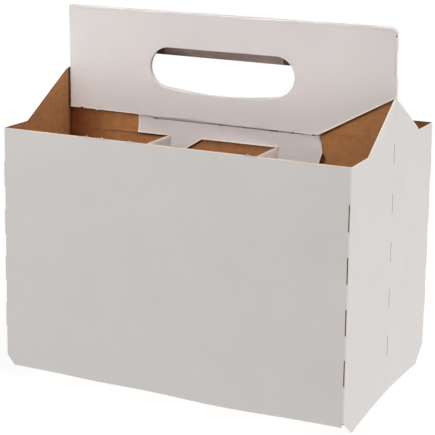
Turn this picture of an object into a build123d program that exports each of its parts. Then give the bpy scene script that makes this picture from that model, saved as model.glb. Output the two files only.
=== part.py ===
"""Six-pack carrier folded and glued from one die-cut sheet of paperboard. Millimetres, Z up.

X runs along the carrier, Y from the front panel to the back panel. The origin is under the middle, on the
surface that the end panels stand on. The handle and the centre partition lie on the plane y = 0.
"""

import os

from build123d import *

# The board
board = 0.6
fold_inner = 0.4
fold_outer = board + fold_inner

# The body
foot_length = 192.0
body_width = 136.0
side_height = 129.5
end_drop = 6.8

# The right end leans in towards the handle, and its centre fold is drawn in a little
right_lean = 2.8
centre_tuck_top = 0.9
centre_tuck_foot = 0.3

# The gabled tops of the end panels
gable_rise = 23.2
gable_half_run = 43.2
left_gable_peak = 25.7
left_gable_round = 12.9

# The feet of the end panels
foot_corner_run = 13.1
foot_arch_rise = 2.4
right_foot_corner_rise = 2.7
left_foot_corner_rise = 6.0
left_panel_corner_run = 5.3
right_panel_corner_run = 2.0

# The cut scores in the upright folds: slits one above the other, with whole board between them
score_pitch = 25.6
corner_slit_length = 13.6
corner_slit_width = 0.5
corner_slit_drop = 24.4
centre_slit_length = 11.0
centre_slit_width = 0.3
centre_slit_drop = 6.0

# The floor
floor_end_gap = 1.5
floor_lap = 25.0

# The handle
handle_rise = 58.2
handle_left_gap = 0.4
handle_foot_rise = 1.5
handle_right_lean = 1.4
handle_notch_run = 40.2
handle_corner_radius = 3.0
handle_plies = 4

# The hand hole
hole_centre_x = -3.9
hole_half_span = 31.0
hole_end_radius = 10.5
hole_bow = 2.5
hole_below_top = 19.7
inner_hole_drop = 3.7

# The centre partition
partition_floor_gap = 1.5
partition_end_gap = 0.8
riser_width = 18.0
riser_below_top = 2.4

# The front centre ply, which hangs in front of the partition
front_ply_left = -52.6
front_ply_right = 55.1
front_ply_shoulder = 53.2
front_ply_band = 8.9
front_ply_notch_depth = 6.0
front_ply_notch_run = 2.0

# The cell straps
cell_pitch = 62.9
first_strap_x = -33.6
strap_height = 65.4
strap_flat_top = 43.2
strap_slope_run = 36.2
strap_slope_fall = 23.3
tab_width = 12.0
back_strap_drop = 14.4

# Cutting tools reach past what they cut by this much
overrun = 2.0

# Levels and places that follow from the sizes above
half_length = foot_length / 2
half_width = body_width / 2
fold_level = end_drop
panel_top = fold_level + side_height
gable_top = panel_top + gable_rise
left_gable_top = panel_top + left_gable_peak
handle_top = panel_top + handle_rise
stack_half = handle_plies * board / 2
floor_top = fold_level + 2 * board
apex_x = half_length - right_lean - centre_tuck_top
handle_left_x = -half_length + board + handle_left_gap
inner_wall_y = half_width - board
strap_reach = inner_wall_y - board
second_strap_x = first_strap_x + cell_pitch
strap_total = strap_reach + tab_width
front_strap_top = panel_top - front_ply_band
back_strap_top = front_strap_top - back_strap_drop
nest_slope = strap_slope_fall / strap_slope_run


def plate_xz(points, y_low, y_high):
    """A flat plate: an outline in X and Z, from y_low to y_high."""
    outline = Polyline(*[(x, y_low, z) for x, z in points], close=True)
    return extrude(make_face(outline), amount=y_high - y_low, dir=(0, 1, 0))


def plate_yz(points, x_low, x_high):
    """A flat plate: an outline in Y and Z, from x_low to x_high."""
    outline = Polyline(*[(x_low, y, z) for y, z in points], close=True)
    return extrude(make_face(outline), amount=x_high - x_low, dir=(1, 0, 0))


def block(x_low, x_high, y_low, y_high, z_low, z_high):
    """A box between two corners."""
    centre = ((x_low + x_high) / 2, (y_low + y_high) / 2, (z_low + z_high) / 2)
    return Pos(*centre) * Box(x_high - x_low, y_high - y_low, z_high - z_low)


def upright_bend(centre_x, centre_y, side_x, side_y, z_low, z_high):
    """A quarter turn of board about an upright fold. side_x and side_y give the quarter that it fills."""
    height = z_high - z_low
    ring = Cylinder(fold_outer, height) - Cylinder(fold_inner, height)
    quarter = Box(fold_outer, fold_outer, height)
    kept = ring & (Pos(side_x * fold_outer / 2, side_y * fold_outer / 2, 0) * quarter)
    return Pos(centre_x, centre_y, (z_low + z_high) / 2) * kept


def wall_section(level, tuck, lean):
    """The body's outer outline at one level, with rounded corner folds."""
    right = half_length - lean
    corners = [
        (-half_length, -half_width),
        (right, -half_width),
        (right - tuck, 0),
        (right, half_width),
        (-half_length, half_width),
    ]
    outline = Polygon(*corners, align=None)
    square = [v for v in outline.vertices() if abs(v.Y) > half_width / 2]
    return Pos(0, 0, level) * fillet(square, fold_outer)


def wall_ring():
    """The four walls, as high as the gables, before their edges are cut."""
    lowest = wall_section(0, centre_tuck_foot, 0)
    highest = wall_section(left_gable_top, centre_tuck_top, right_lean)
    outer = loft([lowest, highest], ruled=True)
    inner = loft([offset(lowest, -board), offset(highest, -board)], ruled=True)
    return outer - inner


def gable_cutter(x_low, x_high, peak, round_radius):
    """What lies above an end panel's gable and above the side panels beside it."""
    reach = half_width + overrun
    ceiling = left_gable_top + overrun
    edge = Polyline((x_low, -gable_half_run, panel_top), (x_low, 0, peak), (x_low, gable_half_run, panel_top))
    if round_radius:
        crest = [v for v in edge.vertices() if v.Z > panel_top + gable_rise / 2]
        edge = fillet(crest, round_radius)
    rest = Polyline(
        (x_low, gable_half_run, panel_top),
        (x_low, reach, panel_top),
        (x_low, reach, ceiling),
        (x_low, -reach, ceiling),
        (x_low, -reach, panel_top),
        (x_low, -gable_half_run, panel_top),
    )
    face = make_face(edge.edges() + rest.edges())
    return extrude(face, amount=x_high - x_low, dir=(1, 0, 0))


def foot_cutter(x_low, x_high, corner_rise):
    """What lies below an end panel's arched lower edge and its slanted corners."""
    side_y = half_width
    lobe_y = half_width - foot_corner_run
    corner_level = fold_level + corner_rise
    arch = ThreePointArc((x_low, -lobe_y, 0), (x_low, 0, foot_arch_rise), (x_low, lobe_y, 0))
    rest = Polyline(
        (x_low, lobe_y, 0),
        (x_low, side_y, corner_level),
        (x_low, side_y + overrun, corner_level),
        (x_low, side_y + overrun, -overrun),
        (x_low, -side_y - overrun, -overrun),
        (x_low, -side_y - overrun, corner_level),
        (x_low, -side_y, corner_level),
        (x_low, -lobe_y, 0),
    )
    face = make_face(arch.edges() + rest.edges())
    return extrude(face, amount=x_high - x_low, dir=(1, 0, 0))


def side_foot_cutter(side):
    """What lies below a side panel's lower edge, with its slanted corners, and where the floor's fold goes."""
    left_fold_x = -half_length + left_panel_corner_run
    right_fold_x = half_length - right_panel_corner_run
    fold_start = fold_level + 2 * fold_outer
    points = [
        (-half_length - overrun, -overrun),
        (-half_length - overrun, fold_level + left_foot_corner_rise),
        (-half_length, fold_level + left_foot_corner_rise),
        (left_fold_x, fold_level),
        (left_fold_x, fold_start),
        (floor_right_x, fold_start),
        (floor_right_x, fold_level),
        (right_fold_x, fold_level),
        (half_length, fold_level + right_foot_corner_rise),
        (half_length + overrun, fold_level + right_foot_corner_rise),
        (half_length + overrun, -overrun),
    ]
    inner = side * (half_width - 2 * board)
    outer = side * (half_width + overrun)
    return plate_xz(points, min(inner, outer), max(inner, outer))


def slit_levels(drop, length):
    """The middles of a fold's slits, from the first one downwards, as far as a slit still ends above the foot."""
    first = panel_top - drop
    lowest = fold_level + left_foot_corner_rise + length / 2
    count = int((first - lowest) / score_pitch) + 1
    return [first - number * score_pitch for number in range(count)]


def fold_slits(x, lean, y, turn, width, length, drop):
    """A row of slits through an upright fold.

    x and y are the middle of the fold's turn at the foot, lean is how far it moves in over the walls' height,
    and turn is the way through the board, in degrees from the X axis.
    """
    middle = fold_outer - board / 2
    slits = []
    for level in slit_levels(drop, length):
        centre = Pos(x - lean * level / left_gable_top, y, level) * Rot(0, 0, turn)
        slits.append(centre * Pos(middle, 0, 0) * Box(2 * board, width, length))
    return slits


def score_cutters():
    """The slits of the four corner folds and of the right end's centre fold."""
    centre_x = half_length - centre_tuck_foot - fold_outer
    centre_lean = right_lean + centre_tuck_top - centre_tuck_foot
    slits = fold_slits(centre_x, centre_lean, 0, 0, centre_slit_width, centre_slit_length, centre_slit_drop)
    corner = (corner_slit_width, corner_slit_length, corner_slit_drop)
    corner_x = half_length - fold_outer
    corner_y = half_width - fold_outer
    for side in (-1, 1):
        slits += fold_slits(corner_x, right_lean, side * corner_y, side * 45, *corner)
        slits += fold_slits(-corner_x, 0, side * corner_y, 180 - side * 45, *corner)
    return slits


def walls():
    """The end and side panels, cut to their outlines, with the left seam open for its folds."""
    middle_left = -half_length + left_panel_corner_run
    middle_right = apex_x - handle_notch_run
    ring = wall_ring()
    ring -= gable_cutter(-half_length - overrun, middle_right, left_gable_top, left_gable_round)
    ring -= gable_cutter(middle_right, half_length + overrun, gable_top, 0)
    ring -= foot_cutter(-half_length - overrun, middle_left, left_foot_corner_rise) & strip_between_sides()
    ring -= foot_cutter(floor_right_x, half_length + overrun, right_foot_corner_rise) & strip_between_sides()
    ring -= side_foot_cutter(-1)
    ring -= side_foot_cutter(1)
    ring -= score_cutters()
    seam = block(
        -half_length - overrun,
        -half_length + board,
        board - fold_outer,
        board + fold_outer,
        -overrun,
        left_gable_top + overrun,
    )
    return ring - seam


def strip_between_sides():
    """The space between the two side panels, past both ends."""
    reach = half_length + overrun
    inner = half_width - 2 * board
    return block(-reach, reach, -inner, inner, -overrun, panel_top)


def floor():
    """The floor with its two folds, and the glue lap over it along the back."""
    left = -half_length + left_panel_corner_run
    tall = 2 * fold_outer
    shape = Rectangle(body_width, tall, align=(Align.CENTER, Align.MIN))
    shape = fillet([v for v in shape.vertices() if v.Y < tall / 2], fold_outer)
    hollow = Rectangle(body_width - 2 * board, tall, align=(Align.CENTER, Align.MIN))
    hollow = fillet([v for v in hollow.vertices() if v.Y < tall / 2], fold_inner)
    profile = Plane.YZ * (shape - Pos(0, board) * hollow)
    tray = Pos(left, 0, fold_level) * extrude(profile, amount=floor_right_x - left)
    lap = block(left, floor_right_x, inner_wall_y - floor_lap, inner_wall_y, fold_level + board, floor_top)
    return tray + lap


def hand_hole(y_low, y_high, drop):
    """A slot with round ends, a straight top and a bottom that bows down as one shallow arc.

    drop lowers its top and leaves its ends and its bottom where they are.
    """
    top = handle_top - hole_below_top - drop
    radius = hole_end_radius - drop / 2
    half_span = hole_half_span + drop / 2
    depth = 2 * radius + hole_bow
    centre_z = top - radius
    gap = depth - radius
    bow_radius = (half_span**2 + gap**2 - radius**2) / (2 * (gap - radius))
    bow_centre_z = top - depth + bow_radius
    turn_x = half_span * bow_radius / (bow_radius - radius)
    turn_z = bow_centre_z + (centre_z - bow_centre_z) * bow_radius / (bow_radius - radius)
    left, right = hole_centre_x - half_span, hole_centre_x + half_span
    top_edge = Line((left, y_low, top), (right, y_low, top))
    right_end = ThreePointArc(
        (right, y_low, top), (right + radius, y_low, centre_z), (hole_centre_x + turn_x, y_low, turn_z)
    )
    bottom = ThreePointArc(
        (hole_centre_x + turn_x, y_low, turn_z),
        (hole_centre_x, y_low, top - depth),
        (hole_centre_x - turn_x, y_low, turn_z),
    )
    left_end = ThreePointArc(
        (hole_centre_x - turn_x, y_low, turn_z), (left - radius, y_low, centre_z), (left, y_low, top)
    )
    face = make_face([top_edge, right_end, bottom, left_end])
    return extrude(face, amount=y_high - y_low, dir=(0, 1, 0))


def handle():
    """The four glued plies of the handle. Their top and right edges are folds, and so are round."""
    corner_x = apex_x - handle_right_lean
    points = [
        (handle_left_x, panel_top + handle_foot_rise),
        (apex_x - handle_notch_run, panel_top),
        (apex_x, gable_top - board),
        (corner_x, handle_top),
        (-half_length, handle_top),
    ]
    slab = plate_xz(points, -stack_half, stack_half)
    corner = [e for e in slab.edges() if abs(e.center().X - corner_x) < board and e.center().Z > handle_top - board]
    slab = fillet(corner, handle_corner_radius)
    rounded = stack_half - board / 4
    folds = [e for e in slab.edges() if abs(e.center().Y) > stack_half / 2 and on_fold(e.center())]
    slab = fillet(folds, rounded)
    slab -= hand_hole(-stack_half - overrun, stack_half + overrun, inner_hole_drop)
    slab -= hand_hole(-stack_half - overrun, -board, 0)
    slab -= hand_hole(board, stack_half + overrun, 0)
    return slab


def on_fold(point):
    """True along the handle's top edge and its right edge."""
    along_top = point.Z > handle_top - handle_corner_radius
    along_right = point.X > apex_x - handle_corner_radius and point.Z > gable_top
    return along_top or along_right


def nest_level(top, run):
    """The height of the cut that two straps share, at a distance from the wide strap's hinge."""
    return top - nest_slope * (run - strap_flat_top)


def wide_strap(top):
    """The strap whose far end narrows: distance from its hinge, and height."""
    bottom = top - strap_height
    return [
        (0, top),
        (strap_flat_top, top),
        (strap_total, nest_level(top, strap_total)),
        (strap_total, bottom),
        (0, bottom),
    ]


def necked_strap(top):
    """The strap whose hinge is a short neck above the tip of the other one."""
    bottom = top - strap_height
    neck = strap_total - cell_pitch
    return [
        (0, top),
        (strap_total, top),
        (strap_total, bottom),
        (neck, bottom),
        (neck, nest_level(top, strap_total)),
        (0, nest_level(top, cell_pitch)),
    ]


def cell_strap(outline, hinge_x, side, turn):
    """One strap from the partition to a side panel, with its glue tab on that panel.

    side is -1 for the front row and 1 for the back row. turn is the way along X that the strap lay in the
    flat sheet, and that its tab points. The face at hinge_x is the printed one.
    """
    ply_y = side * board
    wall_y = side * inner_wall_y
    far_x = hinge_x + turn * board
    sheet = plate_yz(
        [(ply_y + side * run, z) for run, z in outline], min(hinge_x, far_x), max(hinge_x, far_x)
    )
    z_low = min(z for _, z in outline)
    z_high = max(z for _, z in outline)
    root_y = ply_y + side * fold_inner
    turn_y = wall_y - side * fold_outer
    kept = block(
        min(hinge_x, far_x), max(hinge_x, far_x), min(root_y, turn_y), max(root_y, turn_y), z_low, z_high
    )
    sheet &= kept
    neck_low = min(z for run, z in outline if run == 0)
    root = upright_bend(hinge_x - turn * fold_inner, root_y, turn, -side, neck_low, z_high)
    tip_low = min(z for run, z in outline if run == strap_total)
    tip_high = max(z for run, z in outline if run == strap_total)
    tip = upright_bend(hinge_x + turn * fold_outer, turn_y, -turn, side, tip_low, tip_high)
    tab_start, tab_end = hinge_x + turn * fold_outer, hinge_x + turn * (board + tab_width)
    tab = block(
        min(tab_start, tab_end),
        max(tab_start, tab_end),
        min(wall_y, wall_y - side * board),
        max(wall_y, wall_y - side * board),
        tip_low,
        tip_high,
    )
    return [sheet, root, tip, tab]


def front_ply():
    """The ply that hangs from the handle in front of the partition and gives the front row its straps."""
    shoulder_z = front_strap_top
    notch_z = shoulder_z - front_ply_notch_depth
    notch_x = front_ply_right - front_ply_notch_run
    neck_z = nest_level(front_strap_top, cell_pitch)
    slope_x = second_strap_x - strap_flat_top
    ceiling = panel_top + gable_rise / 2
    points = [
        (front_ply_left, ceiling),
        (front_ply_left, shoulder_z),
        (first_strap_x + fold_inner, shoulder_z),
        (first_strap_x + fold_inner, neck_z),
        (slope_x, shoulder_z),
        (second_strap_x + fold_inner, shoulder_z),
        (second_strap_x + fold_inner, front_strap_top - strap_height),
        (notch_x, front_strap_top - strap_height),
        (notch_x, notch_z),
        (front_ply_right, shoulder_z),
        (front_ply_shoulder, panel_top),
        (front_ply_shoulder, ceiling),
    ]
    return plate_xz(points, -board, 0)


def partition():
    """The kraft-faced ply along the whole carrier, with the opening that the back row's straps leave."""
    right = apex_x - partition_end_gap - board
    low = floor_top + partition_floor_gap
    fold_x = -half_length + fold_outer
    sheet = block(fold_x, right, 0, board, low, gable_top)
    sheet -= hand_hole(-overrun, board + overrun, inner_hole_drop)
    top = back_strap_top
    bottom = top - strap_height
    hinge_x = first_strap_x - fold_inner
    opening = [
        (hinge_x, top),
        (first_strap_x + strap_flat_top, top),
        (second_strap_x - fold_inner, nest_level(top, cell_pitch)),
        (second_strap_x - fold_inner, top),
        (right + overrun, top),
        (right + overrun, bottom),
        (hinge_x, bottom),
    ]
    return sheet - plate_xz(opening, -overrun, board + overrun)


def left_seam():
    """The two half-ends turned in at the left end: the partition's fold and the short glued riser."""
    fold_x = -half_length + fold_outer
    low = floor_top + partition_floor_gap
    riser_top = panel_top - riser_below_top
    partition_fold = upright_bend(fold_x, board - fold_outer, -1, 1, low, gable_top)
    riser_fold = upright_bend(fold_x, board + fold_outer, -1, -1, low, riser_top)
    riser = block(fold_x, fold_x + riser_width, board, 2 * board, low, riser_top)
    return [partition_fold, riser_fold, riser]


floor_right_x = half_length - board - floor_end_gap

pieces = [walls(), floor(), handle(), front_ply(), partition(), *left_seam()]
for outline, hinge_x in ((necked_strap, first_strap_x), (wide_strap, second_strap_x)):
    pieces += cell_strap(outline(front_strap_top), hinge_x, -1, -1)
for outline, hinge_x in ((wide_strap, first_strap_x), (necked_strap, second_strap_x)):
    pieces += cell_strap(outline(back_strap_top), hinge_x, 1, 1)

carrier = pieces[0]
for piece in pieces[1:]:
    carrier += piece

os.makedirs("parts", exist_ok=True)
export_step(carrier, "parts/carrier.step")
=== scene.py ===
"""Six-pack carrier folded and glued from one sheet of board, white on the printed face and kraft behind.

Metres, Z up. X runs along the carrier and Y from the front panel to the back panel. Every panel is a grid of
points on its printed face, worked out from named sizes, and the kraft face lies one board behind it.
"""

import math

import bpy
import numpy as np
from bpy.props import FloatProperty, FloatVectorProperty, PointerProperty
from mathutils import Matrix, Vector


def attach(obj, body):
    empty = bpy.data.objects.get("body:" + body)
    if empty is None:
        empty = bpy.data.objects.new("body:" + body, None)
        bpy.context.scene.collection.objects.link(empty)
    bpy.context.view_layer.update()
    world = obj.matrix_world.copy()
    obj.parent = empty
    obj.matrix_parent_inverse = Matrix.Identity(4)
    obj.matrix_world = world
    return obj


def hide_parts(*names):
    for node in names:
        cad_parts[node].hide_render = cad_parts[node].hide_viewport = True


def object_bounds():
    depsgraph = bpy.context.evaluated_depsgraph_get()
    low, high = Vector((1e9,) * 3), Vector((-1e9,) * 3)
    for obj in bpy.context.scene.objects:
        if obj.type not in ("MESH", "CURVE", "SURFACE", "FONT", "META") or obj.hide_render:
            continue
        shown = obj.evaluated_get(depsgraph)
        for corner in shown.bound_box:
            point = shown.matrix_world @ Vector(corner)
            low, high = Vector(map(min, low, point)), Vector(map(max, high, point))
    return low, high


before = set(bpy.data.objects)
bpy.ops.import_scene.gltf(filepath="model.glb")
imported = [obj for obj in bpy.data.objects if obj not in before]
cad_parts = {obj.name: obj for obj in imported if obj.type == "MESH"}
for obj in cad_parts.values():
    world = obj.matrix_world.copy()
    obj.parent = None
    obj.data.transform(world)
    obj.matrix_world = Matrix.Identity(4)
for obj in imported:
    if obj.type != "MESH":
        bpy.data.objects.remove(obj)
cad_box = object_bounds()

bl_info = {
    "name": "Six-Pack Carrier",
    "version": (1, 0, 0),
    "blender": (4, 5, 0),
    "location": "View3D > Sidebar > Carrier",
    "description": "Folded board carrier with a handle, a partition and four cell straps",
    "category": "Add Mesh",
}

MM = 0.001
NODE = "carrier"
BODY = "root"

# Finishes in the order of the pieces' material slots
PRINTED, KRAFT, RAW_EDGE, PAINTED_GREY_SHADE, SHADE = 0, 1, 2, 3, 4

# Points nearer than this are one, and a bend has this many steps
WELD = 0.001 * MM
BEND_STEPS = 6
STEP = 3 * MM

# A cut edge: how wide and deep it is crushed, the burr under it, and the kraft rim and lips behind it,
# painted dark as shade
CRUSH_WIDTH = 0.8 * MM
CRUSH_SHARE = 0.17
CRUSH_TILT = 0.33
BURR = 0.34
KRAFT_RIM = 0.35 * MM
SHADE_LIP = 0.45 * MM
LEFT_SHADE_LIP = 0.35 * MM
HOLE_CRUSH = 0.15
FOOT_CRUSH = 0.5
HINGE_REACH = 0.15 * MM
PALE_SHARE = 0.45
SHARP_ANGLE = math.radians(35)


def length(description, millimetres):
    """A length property whose default is given in millimetres."""
    return FloatProperty(description=description, default=millimetres * MM, unit="LENGTH", precision=5)


def number(description, default, unit="NONE"):
    """A plain number property."""
    return FloatProperty(description=description, default=default, unit=unit)


def colour(description, default):
    """A colour property."""
    return FloatVectorProperty(
        description=description, default=default, size=3, subtype="COLOR", min=0, max=1
    )


class CarrierBody(bpy.types.PropertyGroup):
    """Sizes of the board, the walls and the floor."""

    board: length("Thickness of the board", 0.6)
    fold: length("Radius of a fold on its outer face", 1.0)
    foot_length: length("Length of the carrier at its foot", 192.0)
    width: length("Width over the two side panels", 136.0)
    fold_level: length("Height of the floor's underside", 6.8)
    side_height: length("Height of a side panel above the floor fold", 129.5)
    lean: length("How far the right end leans in at the top of the gables", 2.8)
    tuck_foot: length("How far the right end's centre fold is drawn in at the foot", 0.3)
    tuck_top: length("The same at the top", 0.9)
    gable_half_run: length("Half the width of a gable at its base", 43.2)
    gable_rise: length("Height of the right gable above the side panels", 23.2)
    left_gable_peak: length("Where the slopes of the left gable would meet", 25.7)
    left_gable_run: length("Half the width of the left gable at its base", 45.6)
    left_gable_round: length("Radius of the left gable's top", 12.9)
    foot_corner_run: length("Length of the slant at each end of an end panel's foot", 13.1)
    left_foot_run: length("The same on the left end panel", 26.0)
    foot_arch: length("Rise of the shallow arch under an end panel", 2.4)
    left_corner_rise: length("Height of the left corners above the floor fold", 6.0)
    right_corner_rise: length("Height of the right corners above the floor fold", 2.7)
    left_corner_run: length("Length of a side panel's slanted left corner", 5.3)
    right_corner_run: length("Length of a side panel's slanted right corner", 2.0)
    score_pitch: length("Distance between two slits in a fold", 25.6)
    corner_slit_length: length("Length of a slit in a corner fold", 13.6)
    corner_slit_drop: length("How far the first one's middle is below the top", 24.4)
    centre_slit_length: length("Length of a slit in the right end's centre fold", 11.0)
    centre_slit_drop: length("How far the first one's middle is below the top", 6.0)
    floor_end_gap: length("Gap between the floor and the right end panel", 1.5)
    floor_lap: length("Width of the glue lap on the floor", 25.0)
    sag: length("How far the front floor fold sags at its lowest point", 1.3)
    bow: length("How far the middle of a side panel is pulled in", 0.5)


class CarrierHandle(bpy.types.PropertyGroup):
    """Sizes of the handle and its hand hole."""

    rise: length("Height of the handle above the side panels", 58.2)
    foot_rise: length("Height of the handle's lower left corner above the side panels", 1.5)
    left_gap: length("Gap between the handle's foot and the left end panel", 0.4)
    right_lean: length("How far the right edge leans in over its height", 1.4)
    notch_run: length("Length of the slanted edge at the lower right", 40.2)
    corner_radius: length("Radius of the upper right corner", 3.0)
    crest_height: length("Height of the rounded fold along the top", 1.9)
    hole_centre: length("Place of the hand hole's middle along the carrier", -3.9)
    hole_half_span: length("Half the length of the hole's straight top", 31.0)
    hole_radius: length("Radius of the hole's ends", 10.7)
    hole_bow: length("How far the hole's bottom bows down", 2.5)
    hole_below_top: length("Distance from the handle's top to the hole", 19.3)
    lip_drop: length("How far the inner plies hang into the hole", 4.35)
    lip_push: length("How far that lip's lower edge is bent back at its left end", 2.4)


class CarrierPartition(bpy.types.PropertyGroup):
    """Sizes of the centre partition and of the ply in front of it."""

    floor_gap: length("Gap between the partition and the floor", 1.5)
    end_gap: length("Gap between the partition and the right end panel", 0.8)
    riser_width: length("Width of the glued riser at the left end", 18.0)
    riser_below_top: length("How far the riser ends below the side panels' top", 2.4)
    ply_left: length("Left edge of the front ply", -52.6)
    ply_right: length("Tip of the front ply's right edge", 55.1)
    ply_shoulder: length("Right edge of the front ply above and below its tip", 53.2)
    ply_band: length("Height of the front ply above its windows", 8.9)
    ply_notch: length("Height of the slant below the front ply's tip", 6.0)


class CarrierStraps(bpy.types.PropertyGroup):
    """Sizes of the four cell straps."""

    pitch: length("Distance between two straps", 62.9)
    first: length("Place of the first strap along the carrier", -33.6)
    height: length("Height of a strap", 65.4)
    flat_top: length("Length of a wide strap's level top", 43.2)
    slope_run: length("Length of the slanted cut between two nested straps", 36.2)
    slope_fall: length("Fall of that cut over its length", 23.3)
    tab: length("Width of the glue tab", 12.0)
    back_drop: length("How much lower the back row's straps are", 14.4)


class CarrierFinish(bpy.types.PropertyGroup):
    """Colours of the board."""

    white: colour("Clay-coated printed face", (0.765, 0.73, 0.705))
    white_shade: colour("Cloudy patches in the coating", (0.74, 0.705, 0.68))
    kraft: colour("Unbleached inner face", (0.56, 0.267, 0.108))
    kraft_dark: colour("Darker fibres of the inner face", (0.455, 0.206, 0.078))
    # Painted shade: the next three tones darken the kraft in the left corner and along the fold beside the
    # handle, and the lip towards its left end
    painted_corner_shade: colour("Deepens the inner face in the corner at the left end", (0.38, 0.25, 0.15))
    painted_line_shade: colour("Darkens the fold in that corner", (0.34, 0.25, 0.18))
    painted_lip_end_shade: colour("Darkens the rubbed lip towards its left end", (0.46, 0.38, 0.36))
    edge: colour("Cut edge of the board", (0.98, 0.84, 0.735))
    # Grey-brown painted shade on the lip in the hand hole, in the slits, the grooves and at the hinge edges
    painted_grey_shade: colour("Rubbed lip inside the hand hole", (0.30, 0.23, 0.20))
    # Dark painted shade on the rims round the kraft faces, the kraft lips, the lip's ends and the spots
    shade: colour("Burnished rim round the kraft faces", (0.065, 0.031, 0.018))


class CarrierStage(bpy.types.PropertyGroup):
    """The floor, the light and the camera."""

    floor_colour: colour("Colour of the plain floor", (0.15, 0.15, 0.15))
    floor_glow: number("Strength of the light that comes up through the floor", 0.9)
    sky: number("Strength of the even light from all round", 0.21)
    key: number("Strength of the broad light from the right and above", 1.95)
    fill: number("Power of the soft box aimed at the handle, in watts", 0.031, "POWER")
    side: number("Power of the soft box at the left, in watts", 0.33, "POWER")
    azimuth: number("Turn of the view about Z", 24.046)
    elevation: number("Height of the view in degrees", 14.318)
    roll: number("Roll of the camera in degrees", 1.43)
    lens: number("Focal length in millimetres on a 36 mm sensor", 113.93)


# Grids of points

def spaced(start, end, step):
    """Evenly spaced values from start to end, about one step apart, both ends included."""
    count = max(2, int(round(abs(end - start) / step)) + 1)
    return np.linspace(start, end, count)


def joined(*runs):
    """Several runs of values one after the other, each repeat of a shared end left out."""
    values = np.concatenate(runs)
    keep = np.concatenate([[True], np.abs(np.diff(values)) > WELD])
    return values[keep]


def flat_grid(columns, low, high, rows):
    """A ruled grid in a plane: at each column, rows run from low to high in the given shares."""
    across = np.repeat(columns[:, None], len(rows), axis=1)
    low = np.broadcast_to(low, columns.shape)[:, None]
    high = np.broadcast_to(high, columns.shape)[:, None]
    return across, low + (high - low) * rows[None, :]


def faded(away, reach):
    """1 at no distance, falling evenly to 0 at the reach and beyond."""
    return np.clip(1 - away / reach, 0, 1)


def snapped(places):
    """Places in order, each only once, rounded to the distance at which points are joined."""
    return np.unique(np.round(places / WELD) * WELD)


def least_of_cells(values):
    """For each cell of a grid, the least of the values at its four corners."""
    return np.minimum.reduce([values[:-1, :-1], values[1:, :-1], values[:-1, 1:], values[1:, 1:]])


def near_marks(x, places):
    """1 at each marked place along an edge, falling to 0 beside it."""
    marks = [np.clip(NICK_TOP - np.abs(x - place * MM) / NICK_WIDTH, 0, 1) for place in places]
    return np.maximum.reduce(marks)


def upright(across, up, y, facing):
    """A patch in the XZ plane at y, whose printed face looks along facing in Y."""
    points = np.stack([across, np.broadcast_to(y, across.shape), up], axis=-1)
    normals = np.zeros_like(points)
    normals[..., 1] = facing
    return points, normals


def along_path(path, facing, low, high, rows):
    """A patch over a path in plan: each point of the path carries rows from low to high.

    path is x and y, facing is the printed face's direction at each point of it.
    """
    _, up = flat_grid(path[:, 0], low, high, rows)
    flat = np.repeat(path[:, None, :], len(rows), axis=1)
    points = np.concatenate([flat, up[..., None]], axis=-1)
    normals = np.zeros_like(points)
    normals[..., :2] = facing[:, None, :]
    return points, normals


def carried(x, profile, facing):
    """A patch whose profile in Y and Z is carried along X. facing is the direction of its printed face."""
    points = np.empty((len(x), len(profile), 3))
    points[..., 0] = x[:, None]
    points[..., 1:] = profile
    normals = np.zeros_like(points)
    normals[..., 1:] = facing
    return points, normals


def arc(centre, radius, start, end, steps=BEND_STEPS):
    """Points of an arc in plan and the directions from its centre, from start to end in degrees."""
    angle = np.radians(np.linspace(start, end, steps + 1))
    outward = np.stack([np.cos(angle), np.sin(angle)], axis=-1)
    return np.asarray(centre) + radius * outward, outward


def grid_quads(shape, start):
    """Corner numbers of every cell of a grid, counted from start."""
    index = start + np.arange(shape[0] * shape[1]).reshape(shape)
    corners = (index[:-1, :-1], index[1:, :-1], index[1:, 1:], index[:-1, 1:])
    return np.stack(corners, axis=-1).reshape(-1, 4)


def facing_out(points, normals, quads):
    """The quads of one patch, turned round where they wind against the patch's normals."""
    first, second, last = points[quads[:, 0]], points[quads[:, 1]], points[quads[:, 3]]
    winding = np.einsum("ij,ij->i", np.cross(second - first, last - first), normals[quads[:, 0]])
    return quads if winding.sum() >= 0 else quads[:, ::-1]


def inward_of(points, normals, rim):
    """At each point of a cut edge, the way into the sheet: across the edge, within the printed face."""
    along = points[rim[:, 1]] - points[rim[:, 0]]
    across = np.cross(normals[rim[:, 0]], along)
    across /= np.maximum(np.linalg.norm(across, axis=1, keepdims=True), WELD * WELD)
    inward = np.zeros_like(points)
    np.add.at(inward, rim[:, 0], across)
    np.add.at(inward, rim[:, 1], across)
    return inward / np.maximum(np.linalg.norm(inward, axis=1, keepdims=True), WELD)


def plain_trim(points):
    """The usual cut edge: crushed by its full width, of raw board, and without a burr or a lip."""
    return np.ones(len(points)), np.full(len(points), RAW_EDGE), 0.0, np.zeros(len(points))


def eased(where, trimmed, crush, finish):
    """The same trim, with another crush and finish at the points where it is eased."""
    whole_crush, whole_finish, burr, lip = trimmed
    return np.where(where, crush, whole_crush), np.where(where, finish, whole_finish), burr, lip


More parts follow.
